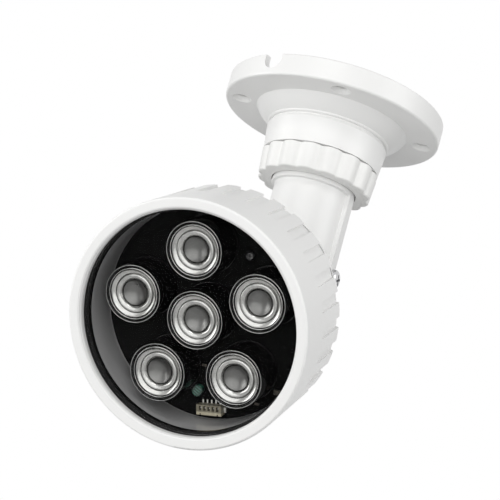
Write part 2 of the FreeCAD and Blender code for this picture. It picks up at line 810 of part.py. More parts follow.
def main_housing():
    waist_bore_r = (SHELF_R + TAIL_BORE_R) / 2
    body = turned(depths([
        (BORE_R, HOUSING_FRONT),
        (THREAD_R, HOUSING_FRONT),
        (THREAD_R, THREAD_END),
        (BARREL_R, THREAD_END),
        (BARREL_R, BARREL_END),
        (WAIST_R, WAIST_AT),
        (TAIL_R, TAIL_END),
        (TAIL_BORE_R, TAIL_END),
        (TAIL_BORE_R, SPIGOT_FRONT - 1),
        (waist_bore_r, WAIST_AT),
        (SHELF_R, BARREL_END),
        (SHELF_R, SHELF_AT),
        (BORE_R, SHELF_AT),
    ]))
    body = body.fuse(screw_columns(COLUMN_START, COLUMN_END, TAIL_BORE_R + TAIL_WALL / 2))
    return body.cut(cover_screw_holes(COVER_SCREW_R + SEAT_GAP, COLUMN_START - 1, TAIL_END))


# Rear cover

COVER_RIM_R = TAIL_R - COVER_RIM_IN
COVER_MID_R = TAIL_R - COVER_MID_IN
COVER_REAR_R = TAIL_R - COVER_REAR_IN
COVER_SPIGOT_R = TAIL_BORE_R - RUNNING_GAP
COVER_SPIGOT_BORE_R = COVER_SPIGOT_R - COVER_SPIGOT_WALL
LEAD_Y = LEAD_RISE - AXIS_RISE
GROMMET_R = LEAD_R + GROMMET_WALL
GROMMET_BACK = COVER_BOSS - COVER_BOSS_H / 2


def cover_outside():
    """The outside, from the spigot to the rear face."""
    return [
        (COVER_SPIGOT_R, SPIGOT_FRONT),
        (COVER_SPIGOT_R, COVER_FRONT),
        (TAIL_R, COVER_FRONT),
        (COVER_RIM_R, COVER_FRONT + COVER_RIM_LEN),
        (COVER_MID_R, COVER_FRONT + COVER_MID_LEN, COVER_REAR_R, COVER_REAR),
    ]


def cover_shell():
    wall = COVER_WALL
    inner_rim_r = min(COVER_SPIGOT_BORE_R, COVER_RIM_R - wall)
    return turned(depths(cover_outside() + [
        (0, COVER_REAR),
        (0, COVER_REAR - wall),
        (COVER_REAR_R - wall, COVER_REAR - wall),
        (COVER_MID_R - wall, COVER_FRONT + COVER_MID_LEN - wall, inner_rim_r, COVER_FRONT + COVER_RIM_LEN),
        (COVER_SPIGOT_BORE_R, COVER_FRONT),
        (COVER_SPIGOT_BORE_R, SPIGOT_FRONT),
    ]))


def cover_columns():
    """The cover's own screw columns, trimmed to its outline."""
    filled = turned(depths(cover_outside() + [(0, COVER_REAR), (0, SPIGOT_FRONT)]))
    columns = screw_columns(SPIGOT_FRONT, COVER_SEAT + COVER_WALL, COVER_SPIGOT_R)
    return [column.common(filled) for column in columns]


def tongue():
    """A flat plate that ends in a round eye about the hinge, on a low round boss."""
    half = TONGUE_T / 2
    low_y = -AXIS_RISE - TONGUE_R
    high_y = -AXIS_RISE + TONGUE_R
    inside = COVER_REAR - COVER_WALL / 2
    eye = Part.makeCylinder(TONGUE_R, TONGUE_T, vec(-half, -AXIS_RISE, -EYE_AT), X_AXIS)
    plate = block(-half, half, low_y, high_y, -EYE_AT, -inside)
    boss = rod(COVER_BOSS_R, 0, -AXIS_RISE, -inside, -COVER_BOSS)
    return [eye, plate, boss]


def hinge_bore():
    """The eye's hole, in the lamp's frame."""
    length = TONGUE_T + 2
    start = vec(-length / 2, -AXIS_RISE, -EYE_AT)
    return Part.makeCylinder(HINGE_SCREW_R + RUNNING_GAP, length, start, X_AXIS)


def rear_cover():
    spigot_front = SPIGOT_FRONT - 1
    shape = cover_shell().fuse(cover_columns() + tongue())
    lead_channel = rod(LEAD_R, 0, LEAD_Y, -(COVER_REAR - COVER_WALL - 1), -(EYE_AT + TONGUE_R))
    grommet_seat = rod(GROMMET_R, 0, LEAD_Y, -(COVER_REAR - COVER_WALL - 1), -GROMMET_BACK)
    shank_holes = cover_screw_holes(COVER_SCREW_R + RUNNING_GAP, spigot_front, COVER_SEAT + 1)
    head_holes = cover_screw_holes(COVER_HEAD_R + COVER_HEAD_CLEAR, COVER_SEAT, COVER_REAR)
    cuts = [lead_channel, grommet_seat, hinge_bore()] + shank_holes + head_holes
    return shape.cut(cuts).removeSplitter()


def rear_cover_seal():
    """A flat ring, clamped between the housing's end and the cover."""
    return pipe(TAIL_R - SEAL_INSET, TAIL_BORE_R, 0, 0, -SEAL_FRONT, -(SEAL_FRONT + SEAL_T))


def rear_cover_screws():
    screws = []
    for x, y in cover_screw_places():
        screw = small_screw(COVER_HEAD_R, COVER_HEAD_H, COVER_SCREW_R, COVER_SCREW_LEN)
        screw.rotate(ORIGIN, X_AXIS, 180)
        screw.translate(vec(x, y, -(COVER_SEAT + SEAT_GAP)))
        screws.append(screw)
    return Part.makeCompound(screws)


def cable_grommet():
    """A rubber bush where the lead leaves the cover for the tongue."""
    back = GROMMET_BACK - SEAT_GAP
    return pipe(GROMMET_R - SEAT_GAP, LEAD_R - GROMMET_NIP, 0, LEAD_Y, -(back - GROMMET_T), -back)


# Board stack

BOARD_R = BORE_R - SOFT_GAP
SPREADER_R = BORE_R - SEAT_GAP
SEAT_Z = SEAT_GAP - BOARD_FRONT
HOLDER_R = (BOARD_R - UNIT_GAP - UNIT_IN) / 3
UNIT_RING_R = 2 * HOLDER_R + UNIT_GAP


def from_edge(step_in, angle_deg):
    """A place on the board."""
    return on_circle(BOARD_R - step_in, angle_deg)


def board_screw_places():
    """Between the light units."""
    step_deg = 360 / UNIT_COUNT
    first = UNIT_FIRST_DEG - step_deg / 2
    circle_r = UNIT_RING_R + BOARD_SCREW_OUT
    return [on_circle(circle_r, first + step * step_deg) for step in BOARD_SCREW_STEPS]


def led_board():
    disc = rod(BOARD_R, 0, 0, -BOARD_FRONT, -(BOARD_FRONT + BOARD_T))
    hole_r = BOARD_SCREW_R + RUNNING_GAP
    return disc.cut([rod(hole_r, x, y, 0, -SPREADER_BACK) for x, y in board_screw_places()])


def heat_spreader():
    """An aluminium disc, pressed in against the housing's shelf."""
    disc = rod(SPREADER_R, 0, 0, -SPREADER_FRONT, -SPREADER_BACK)
    hole_r = BOARD_SCREW_R + SEAT_GAP
    return disc.cut([rod(hole_r, x, y, 0, -SPREADER_BACK) for x, y in board_screw_places()])


def board_screws():
    screws = []
    for x, y in board_screw_places():
        screw = small_screw(BOARD_SCREW_HEAD_R, BOARD_SCREW_HEAD_H, BOARD_SCREW_R, BOARD_T + SPREADER_T)
        screw.translate(vec(x, y, SEAT_Z))
        screws.append(screw)
    return Part.makeCompound(screws)


# Light units

HOLDER_FOOT = BOARD_FRONT - SEAT_GAP
HOLDER_FRONT = HOLDER_FOOT - HOLDER_H
HOLDER_HOLE_R = LED_SIDE * math.sqrt(0.5) + LED_CLEAR
HOLDER_BORE_R = HOLDER_R - HOLDER_WALL
LENS_FRONT = HOLDER_FRONT + LENS_FALL
LENS_LEDGE = LENS_FRONT + LENS_RIM_T + SEAT_GAP
LENS_R = HOLDER_BORE_R - LENS_GAP
LENS_SKIRT_R = LENS_R - LENS_RIM_W
LENS_REAR = HOLDER_FOOT - LED_T - LENS_LIFT


def unit_places():
    """The middle unit first, then the ring, counter-clockwise as seen from the front."""
    return [(0, 0)] + round_places(UNIT_RING_R, UNIT_COUNT, UNIT_FIRST_DEG)


def swell(start, end, rise):
    """An arc point for profile: from start to end, standing to the right of the way there by the rise."""
    run_r = end[0] - start[0]
    run_z = end[1] - start[1]
    length = math.hypot(run_r, run_z)
    middle_r = (start[0] + end[0]) / 2 + rise * run_z / length
    middle_z = (start[1] + end[1]) / 2 - rise * run_r / length
    return (middle_r, middle_z, end[0], end[1])


def ridge(outer_r, radius, foot_at):
    """A ridge in three flats that stand in for a half round, crossed from the outside inwards."""
    crest_at = foot_at - radius * math.sin(math.radians(60))
    steps = ((0, foot_at), (radius / 2, crest_at), (radius * 3 / 2, crest_at), (radius * 2, foot_at))
    return [(outer_r - step_in, at) for step_in, at in steps]


def light_holder():
    """A straight tube on a low foot, with two ridges round its mouth and a ledge for the lens."""
    ridge_foot = HOLDER_FRONT + HOLDER_RIDGE_R
    inner_foot = ridge_foot + HOLDER_RIDGE_FALL
    outer_ridge = ridge(HOLDER_R, HOLDER_RIDGE_R, ridge_foot)
    inner_ridge = ridge(HOLDER_R - 2 * HOLDER_RIDGE_R, HOLDER_INNER_RIDGE_R, inner_foot)
    skirt_bore_r = LENS_SKIRT_R + SOFT_GAP
    foot_at = HOLDER_FOOT - HOLDER_FOOT_H
    return turned(depths(outer_ridge + inner_ridge + [
        (HOLDER_BORE_R, inner_foot + HOLDER_INNER_RIDGE_R),
        (HOLDER_BORE_R, LENS_LEDGE),
        (skirt_bore_r, LENS_LEDGE),
        (skirt_bore_r, HOLDER_FOOT - HOLDER_FLOOR),
        (HOLDER_HOLE_R, HOLDER_FOOT - HOLDER_FLOOR),
        (HOLDER_HOLE_R, HOLDER_FOOT),
        (HOLDER_R + HOLDER_FOOT_OUT, HOLDER_FOOT),
        (HOLDER_R + HOLDER_FOOT_OUT, foot_at),
        (HOLDER_R, foot_at),
    ]))


def lens_point(place):
    """A point of the lens's face from its step in from the edge and its depth."""
    return (LENS_R - place[0], LENS_FRONT + place[1])


def collimator_lens():
    """A moulded lens: rim, bowl, ring and dish in front, a cone and a cup for the emitter behind."""
    rim_back = LENS_FRONT + LENS_RIM_T
    cone_mid_r = LENS_FOOT_R + (LENS_SKIRT_R - LENS_FOOT_R) * 0.56
    cone_mid_at = LENS_REAR - (LENS_REAR - rim_back) * 0.44
    cup_at = LENS_REAR - LENS_CUP_DEPTH
    dish_centre = (0, LENS_FRONT + LENS_DISH_DEPTH)
    dish_edge = lens_point(LENS_DISH_FROM)
    ring_inner = lens_point(LENS_RING_TO)
    ring_crest = lens_point(LENS_RING_CREST)
    ring_outer = lens_point(LENS_RING_FROM)
    bowl_inner = lens_point(LENS_BOWL_TO)
    bowl_outer = lens_point(LENS_BOWL_FROM)
    return turned(depths([
        dish_centre,
        swell(dish_centre, dish_edge, -LENS_DISH_SAG),
        lens_point(LENS_INNER_GROOVE),
        ring_inner,
        swell(ring_inner, ring_crest, LENS_RING_FALL_SWELL),
        swell(ring_crest, ring_outer, LENS_RING_SWELL),
        lens_point(LENS_OUTER_GROOVE),
        bowl_inner,
        swell(bowl_inner, bowl_outer, -LENS_BOWL_SAG),
        (LENS_R - LENS_LIP_W * 3 / 2, LENS_FRONT),
        (LENS_R - LENS_LIP_W / 2, LENS_FRONT),
        (LENS_R, LENS_FRONT + LENS_LIP_W),
        (LENS_R, rim_back),
        (LENS_SKIRT_R, rim_back),
        (cone_mid_r, cone_mid_at, LENS_FOOT_R, LENS_REAR),
        (LENS_CUP_R, LENS_REAR),
        (LENS_CUP_R, cup_at),
        (0, cup_at),
    ]))


def emitter():
    """A square package with a small clear dome, standing on the board."""
    package = brick((LED_SIDE, LED_SIDE, LED_T), 0, 0, SEAT_Z, 1)
    sphere_r = (LED_DOME_R ** 2 + LED_DOME_H ** 2) / (2 * LED_DOME_H)
    half_deg = math.degrees(math.asin(LED_DOME_R / sphere_r))
    dome = Part.makeSphere(sphere_r, ORIGIN, Z_AXIS, 90 - half_deg, 90)
    dome.translate(vec(0, 0, SEAT_Z + LED_T + LED_DOME_H - sphere_r))
    return package.fuse(dome)


# Small parts on the board

def photocell():
    """A light sensor: a flat button with two cut sides, bevelled round its face."""
    edge = PHOTOCELL_EDGE
    button = turned([
        (0, 0),
        (PHOTOCELL_R, 0),
        (PHOTOCELL_R, PHOTOCELL_H - edge),
        (PHOTOCELL_R - edge, PHOTOCELL_H),
        (0, PHOTOCELL_H),
    ])
    button = button.common(brick((PHOTOCELL_FLATS, 2 * PHOTOCELL_R, PHOTOCELL_H), 0, 0, 0, 1))
    button = turned_about_z(button, PHOTOCELL_TURN_DEG)
    x, y = from_edge(PHOTOCELL_IN, PHOTOCELL_AT_DEG)
    button.translate(vec(x, y, SEAT_Z))
    return button


# The header is modelled with its length along X and the board's middle towards +Y, then set in place

HEADER_LEN = (HEADER_PINS - 1) * HEADER_PITCH + 2 * HEADER_END


def header_pin_places():
    first_x = -(HEADER_PINS - 1) * HEADER_PITCH / 2
    return [first_x + step * HEADER_PITCH for step in range(HEADER_PINS)]


def set_header(shape):
    """Turned to lie along the board's edge."""
    placed = turned_about_z(shape, HEADER_AT_DEG + 90)
    x, y = from_edge(HEADER_IN, HEADER_AT_DEG)
    placed.translate(vec(x, y, SEAT_Z))
    return placed


def header_pin(x, side):
    """A square pin that stands in its slot and leaves the body as a tail along the board."""
    length, height = PIN_TAIL
    tail_end = HEADER_WIDTH / 2 + length
    upright = brick((side, side, PIN_H), x, HEADER_SLOT_IN, 0, 1)
    tail = block(x - side / 2, x + side / 2, HEADER_SLOT_IN, tail_end, 0, height + side - PIN_SIDE)
    return upright.fuse(tail)


def header_body():
    """A shrouded block with a slot for each contact and two notches in its outer edge."""
    body = brick((HEADER_LEN, HEADER_WIDTH, HEADER_H), 0, 0, 0, 1)
    slot_floor = HEADER_H - HEADER_SLOT_DEPTH
    cuts = []
    for x in header_pin_places():
        cuts.append(brick(HEADER_SLOT + (HEADER_H,), x, HEADER_SLOT_IN, slot_floor, 1))
        cuts.append(header_pin(x, PIN_SIDE + 2 * SEAT_GAP))
    notch_x = HEADER_LEN / 2 - HEADER_END
    for x in (-notch_x, notch_x):
        notch = brick(HEADER_NOTCH + (HEADER_H,), x, -HEADER_WIDTH / 2, HEADER_H - HEADER_NOTCH_DEPTH, 1)
        cuts.append(notch)
    return set_header(body.cut(cuts))


def header_pins():
    """The contacts, and the two solder tabs that hold the body's ends."""
    tab_x = (HEADER_LEN + TAB_SIZE[0]) / 2 + SEAT_GAP
    metal = [header_pin(x, PIN_SIDE) for x in header_pin_places()]
    metal += [brick(TAB_SIZE, x, 0, 0, 1) for x in (-tab_x, tab_x)]
    return set_header(Part.makeCompound(metal))


def board_parts():
    """Chip resistors and a moulded capacitor."""
    pieces = []
    for step_in, angle_deg in zip(CHIP_PART_IN, CHIP_PART_AT_DEG):
        x, y = from_edge(step_in, angle_deg)
        pieces.append(brick(CHIP_PART_SIZE, x, y, SEAT_Z, 1))
    x, y = from_edge(BOX_PART_IN, BOX_PART_AT_DEG)
    pieces.append(brick(BOX_PART_SIZE, x, y, SEAT_Z, 1))
    return Part.makeCompound(pieces)


# Driver behind the board

STANDOFF_FRONT = SPREADER_BACK + SEAT_GAP
DRIVER_FRONT = STANDOFF_FRONT + STANDOFF_LEN + SEAT_GAP
DRIVER_BACK_Z = -(DRIVER_FRONT + DRIVER_T)
DRIVER_SEAT_Z = DRIVER_BACK_Z - SEAT_GAP


def standoff_places():
    return round_places(STANDOFF_PCR, STANDOFF_COUNT, 90)


def driver_board():
    disc = rod(DRIVER_R, 0, 0, -DRIVER_FRONT, DRIVER_BACK_Z)
    hole_r = DRIVER_SCREW_R + RUNNING_GAP
    return disc.cut([rod(hole_r, x, y, -DRIVER_FRONT, DRIVER_BACK_Z) for x, y in standoff_places()])


def driver_standoffs():
    hole_r = DRIVER_SCREW_R + SEAT_GAP
    far = STANDOFF_FRONT + STANDOFF_LEN
    return Part.makeCompound([
        pipe(STANDOFF_R, hole_r, x, y, -STANDOFF_FRONT, -far) for x, y in standoff_places()
    ])


def driver_screws():
    screws = []
    for x, y in standoff_places():
        screw = small_screw(DRIVER_HEAD_R, DRIVER_HEAD_H, DRIVER_SCREW_R, DRIVER_T + STANDOFF_LEN / 2)
        screw.rotate(ORIGIN, X_AXIS, 180)
        screw.translate(vec(x, y, DRIVER_SEAT_Z))
        screws.append(screw)
    return Part.makeCompound(screws)


def driver_coil():
    """A round coil on its ferrite spool."""
    waist_r = COIL_R - COIL_GROOVE
    spool = turned([
        (COIL_HOLE_R, 0),
        (COIL_R, 0),
        (COIL_R, COIL_FLANGE_T),
        (waist_r, COIL_FLANGE_T),
        (waist_r, COIL_H - COIL_FLANGE_T),
        (COIL_R, COIL_H - COIL_FLANGE_T),
        (COIL_R, COIL_H),
        (COIL_HOLE_R, COIL_H),
    ])
    spool.translate(vec(COIL_XY[0], COIL_XY[1], DRIVER_SEAT_Z - COIL_H))
    return spool


def driver_capacitors():
    cans = []
    for x, y in CAPACITOR_PLACES:
        can = turned([
            (0, 0),
            (CAPACITOR_R, 0),
            (CAPACITOR_R, CAPACITOR_H - CAPACITOR_EDGE),
            (CAPACITOR_R - CAPACITOR_EDGE, CAPACITOR_H),
            (0, CAPACITOR_H),
        ])
        can.rotate(ORIGIN, X_AXIS, 180)
        can.translate(vec(x, y, DRIVER_SEAT_Z))
        cans.append(can)
    return Part.makeCompound(cans)


def driver_chips():
    return Part.makeCompound([brick(IC_SIZE, x, y, DRIVER_SEAT_Z, -1) for x, y in IC_PLACES])


# Write the pieces

save("base_flange", base_flange())
save("ring_nut", ring_nut())
save("thrust_washer", thrust_washer())
save("bracket_arm", bracket_arm())
save("hinge_screw", hinge_screw())
save("hinge_washer", hinge_washer())
save("hinge_nut", hinge_nut())
save("friction_discs", friction_discs())

save_lamp("front_cap", front_cap())
save_lamp("front_glass", front_glass())
save_lamp("glass_gasket", glass_gasket())
save_lamp("main_housing", main_housing())
save_lamp("rear_cover", rear_cover())
save_lamp("rear_cover_seal", rear_cover_seal())
save_lamp("rear_cover_screws", rear_cover_screws())
save_lamp("cable_grommet", cable_grommet())
save_lamp("heat_spreader", heat_spreader())
save_lamp("led_board", led_board())
save_lamp("board_screws", board_screws())
save_lamp("board_parts", board_parts())
save_lamp("photocell", photocell())
save_lamp("header_body", header_body())
save_lamp("header_pins", header_pins())
save_lamp("driver_board", driver_board())
save_lamp("driver_standoffs", driver_standoffs())
save_lamp("driver_screws", driver_screws())
save_lamp("driver_coil", driver_coil())
save_lamp("driver_capacitors", driver_capacitors())
save_lamp("driver_chips", driver_chips())

for number, (unit_x, unit_y) in enumerate(unit_places(), start=1):
    for piece_name, piece in (("led", emitter()), ("holder", light_holder()), ("lens", collimator_lens())):
        piece.translate(vec(unit_x, unit_y, 0))
        save_lamp(piece_name + "_" + str(number), piece)
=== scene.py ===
import math

import bpy
from mathutils import Matrix, Vector


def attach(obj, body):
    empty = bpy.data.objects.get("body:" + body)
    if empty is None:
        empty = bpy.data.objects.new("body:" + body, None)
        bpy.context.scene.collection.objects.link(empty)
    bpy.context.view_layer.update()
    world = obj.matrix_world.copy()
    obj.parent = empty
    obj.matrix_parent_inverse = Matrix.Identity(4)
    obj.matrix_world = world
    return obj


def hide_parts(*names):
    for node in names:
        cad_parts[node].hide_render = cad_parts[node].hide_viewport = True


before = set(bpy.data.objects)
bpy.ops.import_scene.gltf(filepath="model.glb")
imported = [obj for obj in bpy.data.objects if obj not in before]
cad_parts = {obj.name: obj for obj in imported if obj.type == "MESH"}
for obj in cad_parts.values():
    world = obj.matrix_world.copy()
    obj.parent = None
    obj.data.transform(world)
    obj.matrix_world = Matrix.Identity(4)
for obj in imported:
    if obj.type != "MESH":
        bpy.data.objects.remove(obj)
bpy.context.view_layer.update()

# Studio. The lamp hangs from a ceiling that isn't shown, so the pale floor lies well below it.
# The surroundings are white, and five soft lamps stand round the lamp.

LAMP_FRONT = Vector((0.0, -0.088467, -0.126157))


def put(tree, kind, inputs=None, **settings):
    """One shader node: its settings, and for each input a value or another node's output."""
    node = tree.nodes.new("ShaderNode" + kind)
    for name, value in settings.items():
        setattr(node, name, value)
    for name, value in (inputs or {}).items():
        if isinstance(value, bpy.types.NodeSocket):
            tree.links.new(value, node.inputs[name])
        else:
            node.inputs[name].default_value = value
    return node


def work_out(tree, operation, *values):
    """A number worked out from one, two or three others."""
    return put(tree, "Math", dict(enumerate(values)), operation=operation).outputs[0]


def noise(tree, place, scale, detail, **more):
    """Soft patches between 0 and 1; the scale is how many lie on a metre."""
    return put(tree, "TexNoise", {"Vector": place, "Scale": scale, "Detail": detail, **more}).outputs["Fac"]


def spread(tree, value, low, high, start=0.0, end=1.0):
    """A value that runs from start to end, stretched to run from low to high and held there."""
    return put(tree, "MapRange", {"Value": value, "From Min": start, "From Max": end,
                                  "To Min": low, "To Max": high}).outputs[0]


def object_place(tree):
    """The piece's own coordinates, in metres."""
    return put(tree, "TexCoord").outputs["Object"]


def new_material(name, **plain):
    """A material, with plain values set on its shader's own sockets."""
    material = bpy.data.materials.new(name)
    material.use_nodes = True
    shader = material.node_tree.nodes["Principled BSDF"]
    for socket, value in plain.items():
        shader.inputs[socket.replace("_", " ")].default_value = value
    return material, material.node_tree, shader


def studio_camera():
    """A long lens in front of the lamp, to its right and a little below it."""
    data = bpy.data.cameras.new("camera")
    data.lens = 164.139
    data.sensor_width = 36.0
    data.clip_end = 20.0
    camera = bpy.data.objects.new("camera", data)
    place = (0.287638, -0.796435, -0.325898)
    right = Vector((0.926818, 0.272087, 0.258799))
    up = Vector((-0.151987, -0.358406, 0.921111))
    back = Vector((0.343378, -0.893036, -0.290824))
    turn = Matrix((right, up, back)).transposed().to_4x4()
    camera.matrix_world = Matrix.Translation(place) @ turn
    bpy.context.collection.objects.link(camera)
    bpy.context.scene.camera = camera


def seen_rays(tree):
    """One for what the camera, gloss or glass shows, and nothing for plain light."""
    rays = put(tree, "LightPath").outputs
    undimmed = work_out(tree, "LESS_THAN", rays["Diffuse Depth"], 0.5)
    through = work_out(tree, "MULTIPLY", rays["Is Transmission Ray"], undimmed)
    seen = work_out(tree, "MAXIMUM", rays["Is Camera Ray"], rays["Is Glossy Ray"])
    return work_out(tree, "MAXIMUM", seen, through)


def studio_world(level):
    """White to the camera, to gloss and through glass, and a softer level as a light."""
    world = bpy.data.worlds.new("studio")
    world.use_nodes = True
    tree = world.node_tree
    back = tree.nodes["Background"]
    back.inputs["Color"].default_value = (1.0, 1.0, 1.0, 1.0)
    strength = work_out(tree, "MULTIPLY_ADD", seen_rays(tree), 1.0 - level, level)
    tree.links.new(strength, back.inputs["Strength"])
    bpy.context.scene.world = world


def studio_floor(height, side, glow):
    """Pale paper, which glows a little where it is seen, so that it shows nearly white."""
    bpy.ops.object.select_all(action="DESELECT")
    bpy.ops.mesh.primitive_plane_add(size=side, location=(0.0, 0.0, height))
    floor = bpy.context.object
    floor.name = "floor"
    bpy.ops.object.transform_apply(location=True)
    paper, tree, shader = new_material("floor_paper", Roughness=0.9, Emission_Strength=glow)
    grain = noise(tree, object_place(tree), 40.0, 4.0)
    tree.links.new(spread(tree, grain, 0.82, 0.86), shader.inputs["Base Color"])
    tree.links.new(seen_rays(tree), shader.inputs["Emission Color"])
    paper.cycles.emission_sampling = "NONE"
    floor.data.materials.append(paper)


def soft_lamp(name, way, far, width, height, radiance):
    """A soft lamp of a given brightness, some metres away from the lamp's front and aimed at it."""
    data = bpy.data.lights.new(name, "AREA")
    data.shape = "RECTANGLE"
    data.size = width
    data.size_y = height
    data.energy = radiance * math.pi * width * height
    lamp = bpy.data.objects.new(name, data)
    lamp.location = LAMP_FRONT + Vector(way).normalized() * far
    lamp.rotation_euler = (LAMP_FRONT - lamp.location).to_track_quat("-Z", "Y").to_euler()
    bpy.context.collection.objects.link(lamp)


bpy.context.scene.view_settings.view_transform = "Standard"
studio_camera()
studio_world(level=0.27)
studio_floor(height=-1.3, side=14.0, glow=0.35)
soft_lamp("lamp_strip", (0.05, -0.8, 0.6), far=1.0, width=0.42, height=0.12, radiance=8.5)
soft_lamp("lamp_left", (-0.88, -0.35, -0.02), far=1.0, width=0.5, height=0.75, radiance=3.3)
soft_lamp("lamp_right", (0.95, -0.06, 0.28), far=1.0, width=0.6, height=0.8, radiance=2.35)
soft_lamp("lamp_camera", (0.1, -0.95, -0.15), far=1.4, width=2.0, height=1.6, radiance=1.58)
soft_lamp("lamp_top", (-0.3, -0.3, 0.9), far=1.0, width=0.8, height=0.6, radiance=0.3)


# Base flange. Die cast aluminium under a smooth satin white powder coat with a faint orange peel.
# Its thread below the neck is cut before coating, so the coat follows the thread.

MM = 0.001
WHITE = (0.84, 0.84, 0.83)
PAINT_UNEVENNESS = 0.05
# What the shader group of every finish puts out.
FINISH = {"Color": "Color", "Roughness": "Float", "Height": "Float"}


def dress(nodes, material):
    """Gives a finish to CAD nodes."""
    for node in nodes:
        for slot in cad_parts[node].material_slots:
            slot.material = material


def new_group(name, inputs, outputs):
    """A shader group's tree, the outputs of its entry and the inputs of its exit."""
    group = bpy.data.node_groups.new(name, "ShaderNodeTree")
    for label, kind in inputs.items():
        group.interface.new_socket(name=label, in_out="INPUT", socket_type="NodeSocket" + kind)
    for label, kind in outputs.items():
        group.interface.new_socket(name=label, in_out="OUTPUT", socket_type="NodeSocket" + kind)
    return group, group.nodes.new("NodeGroupInput").outputs, group.nodes.new("NodeGroupOutput").inputs


def finished(group, leave, **results):
    """Leads each result to the group's exit, and gives the group."""
    for label, output in results.items():
        group.links.new(output, leave[label])
    return group


def use(tree, group, **inputs):
    """A shader group placed in a tree with its own values: the outputs of its node."""
    inputs = {label.replace("_", " "): value for label, value in inputs.items()}
    return put(tree, "Group", inputs, node_tree=group).outputs


def shaded(tree, color, amount):
    """A colour made lighter or darker by a varying amount."""
    return put(tree, "VectorMath", {0: color, "Scale": amount}, operation="SCALE").outputs[0]


def round_place_group():
    """Radius, turns and height round the Z axis of some coordinates."""
    group, entry, leave = new_group(
        "round_place", {"Vector": "Vector"}, {"Radius": "Float", "Turns": "Float", "Along": "Float"})
    split = put(group, "SeparateXYZ", {0: entry["Vector"]}).outputs
    flat = put(group, "CombineXYZ", {0: split[0], 1: split[1]}).outputs[0]
    radius = put(group, "VectorMath", {0: flat}, operation="LENGTH").outputs["Value"]
    angle = work_out(group, "ARCTAN2", split[1], split[0])
    turns = work_out(group, "DIVIDE", angle, 2 * math.pi)
    return finished(group, leave, Radius=radius, Turns=turns, Along=split[2])


ROUND_PLACE = round_place_group()


def thread_group():
    """A thread's height on the wall of a given radius, from 0 in its roots to 0.5 on its crests."""
    group, entry, leave = new_group(
        "screw_thread", {"Vector": "Vector", "Pitch": "Float", "Radius": "Float"}, {"Height": "Float"})
    spot = use(group, ROUND_PLACE, Vector=entry["Vector"])
    rise = work_out(group, "DIVIDE", spot["Along"], entry["Pitch"])
    climb = work_out(group, "ADD", rise, spot["Turns"])
    flank = work_out(group, "PINGPONG", climb, 0.5)
    on_wall = work_out(group, "COMPARE", spot["Radius"], entry["Radius"], 0.35 * MM)
    return finished(group, leave, Height=work_out(group, "MULTIPLY", flank, on_wall))


THREAD = thread_group()


def paint_group():
    """Powder paint: a fine orange peel, and a shade and gloss that are never quite even."""
    group, entry, leave = new_group(
        "paint_surface", {"Grain": "Float", "Unevenness": "Float", "Color": "Color"}, FINISH)
    place = object_place(group)
    peel = noise(group, place, entry["Grain"], 3.0, Roughness=0.45)
    drift = work_out(group, "SUBTRACT", noise(group, place, 28.0, 2.0), 0.5)
    swing = work_out(group, "MULTIPLY_ADD", drift, entry["Unevenness"], 1.0)
    return finished(group, leave, Color=shaded(group, entry["Color"], swing),
                    Roughness=spread(group, peel, 0.3, 0.42, 0.3, 0.7), Height=peel)


PAINT = paint_group()


def thread_bumps(tree, thread):
    """A thread, given as its place, pitch and radius, as a bump; none where there is no thread."""
    if thread is None:
        return []
    place, pitch, radius = thread
    cut = use(tree, THREAD, Vector=place(tree), Pitch=pitch, Radius=radius)
    return [(cut["Height"], 1.0, 1.2 * MM)]


def apply_finish(tree, shader, color, gloss, bumps):
    """Leads colour, roughness and bumps to the shader. A bump is a height, a strength and a depth
    in metres, and each is laid on the one before."""
    normal = None
    for height, strength, depth in bumps:
        inputs = {"Height": height, "Strength": strength, "Distance": depth}
        if normal is not None:
            inputs["Normal"] = normal
        normal = put(tree, "Bump", inputs).outputs["Normal"]
    tree.links.new(normal, shader.inputs["Normal"])
    tree.links.new(color, shader.inputs["Base Color"])
    tree.links.new(gloss, shader.inputs["Roughness"])


def painted(name, grain, peel, thread=None):
    """A white painted piece, with the grain and strength of its orange peel."""
    material, tree, shader = new_material(name)
    coat = use(tree, PAINT, Grain=grain, Unevenness=PAINT_UNEVENNESS, Color=(*WHITE, 1.0))
    apply_finish(tree, shader, coat["Color"], coat["Roughness"],
                 thread_bumps(tree, thread) + [(coat["Height"], peel, 0.1 * MM)])
    return material


CASTING_GRAIN, CASTING_PEEL = 900.0, 0.15
NUT_PITCH, SPIGOT_R = 2.0 * MM, 20.2 * MM
dress(["base_flange"], painted("base_paint", CASTING_GRAIN, CASTING_PEEL,
                               thread=(object_place, NUT_PITCH, SPIGOT_R)))


# Thrust washer. Black nylon, stamped from sheet, so its faces are matt and lightly scuffed.
# It turns with the nut against the arm's flange.

def moulded_group():
    """Moulded plastic: a fine spark-eroded grain, which varies the gloss, and soft clouds of shade."""
    group, entry, leave = new_group(
        "moulded_surface", {"Color": "Color", "Grain": "Float", "Gloss": "Float"}, FINISH)
    place = object_place(group)
    grain = noise(group, place, entry["Grain"], 4.0, Roughness=0.6)
    swing = spread(group, noise(group, place, 60.0, 2.0), 0.94, 1.06)
    haze = spread(group, grain, 0.85, 1.15, 0.3, 0.7)
    return finished(group, leave, Color=shaded(group, entry["Color"], swing),
                    Roughness=work_out(group, "MULTIPLY", entry["Gloss"], haze), Height=grain)


MOULDED = moulded_group()


def moulded(name, color, gloss, grain, bump, thread=None, **plain):
    """A moulded piece, with the fineness and strength of its grain."""
    material, tree, shader = new_material(name, **plain)
    skin = use(tree, MOULDED, Color=(*color, 1.0), Grain=grain, Gloss=gloss)
    apply_finish(tree, shader, skin["Color"], skin["Roughness"],
                 thread_bumps(tree, thread) + [(skin["Height"], bump, 0.05 * MM)])
    return material


dress(["thrust_washer"], moulded("washer_nylon", (0.03, 0.03, 0.03), gloss=0.5, grain=2200.0, bump=0.25))


